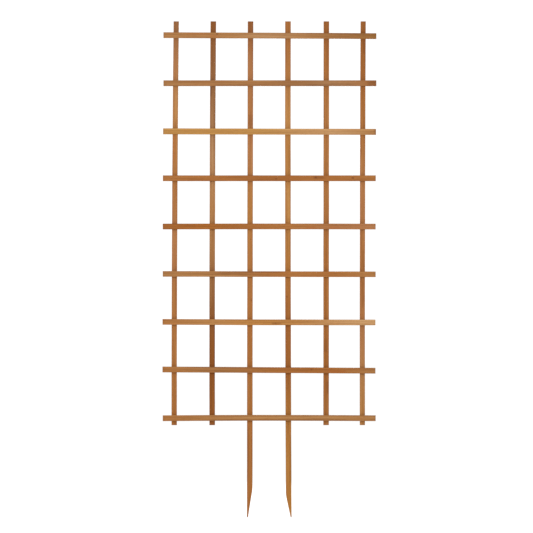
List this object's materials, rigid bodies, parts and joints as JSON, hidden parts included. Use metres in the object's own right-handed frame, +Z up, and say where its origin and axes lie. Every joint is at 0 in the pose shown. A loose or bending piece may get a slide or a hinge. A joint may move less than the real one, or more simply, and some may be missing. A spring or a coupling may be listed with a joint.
{
  "type": "garden trellis",
  "caption": "Flat wooden garden trellis: level rails stapled across upright slats in an open grid, the middle uprights running on below as pointed ground stakes.",
  "frame": {"origin": "midway across the rails, on the lap plane between rails and uprights, level with the tips of the stakes", "axes": "+Z up along the uprights, +X to the right along the rails, -Y to the front, where the rails are"},
  "size_m": [0.9192, 0.025, 2.132],
  "materials": {
    "cedar_rail": "planed cedar with a thin clear oil finish, satin",
    "cedar_upright": "planed cedar with a thin clear oil finish, satin",
    "galvanised_staple": "dull zinc"
  },
  "bodies": {
    "root": {"upright_1": "cedar_upright", "upright_2": "cedar_upright", "left_stake_upright": "cedar_upright", "right_stake_upright": "cedar_upright", "upright_5": "cedar_upright", "upright_6": "cedar_upright", "rail_1_top": "cedar_rail", "rail_2": "cedar_rail", "rail_3": "cedar_rail", "rail_4": "cedar_rail", "rail_5": "cedar_rail", "rail_6": "cedar_rail", "rail_7": "cedar_rail", "rail_8": "cedar_rail", "rail_9_bottom": "cedar_rail", "rail_1_top_staples": "galvanised_staple", "rail_2_staples": "galvanised_staple", "rail_3_staples": "galvanised_staple", "rail_4_staples": "galvanised_staple", "rail_5_staples": "galvanised_staple", "rail_6_staples": "galvanised_staple", "rail_7_staples": "galvanised_staple", "rail_8_staples": "galvanised_staple", "rail_9_bottom_staples": "galvanised_staple"}
  },
  "joints": []
}
